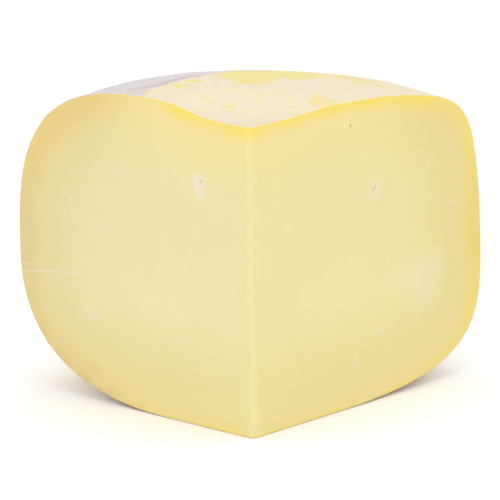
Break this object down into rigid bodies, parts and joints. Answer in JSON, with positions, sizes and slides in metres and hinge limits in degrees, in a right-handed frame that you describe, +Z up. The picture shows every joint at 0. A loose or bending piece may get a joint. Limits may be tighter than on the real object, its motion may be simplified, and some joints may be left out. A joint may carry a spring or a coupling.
{
  "type": "cheese wedge",
  "caption": "Quarter wedge of a small pressed cheese wheel: two flat knife cuts meeting in an upright tip edge, rounded rind at the back, crowned top, flat underside.",
  "frame": {"origin": "middle of the bounding box at the height of the flat underside", "axes": "+Z up from the underside to the crowned top; the tip edge, which was the middle of the wheel, points to -Y; the rind at the back faces +Y; +X to the right seen from the tip"},
  "size_m": [0.1716, 0.1164, 0.1201],
  "materials": {
    "cheese": "pale yellow paste with a soft, slightly moist satin surface; darker and yellower towards a thin cream-coloured rind"
  },
  "bodies": {
    "root": {"cheese_wedge": "cheese"}
  },
  "joints": []
}
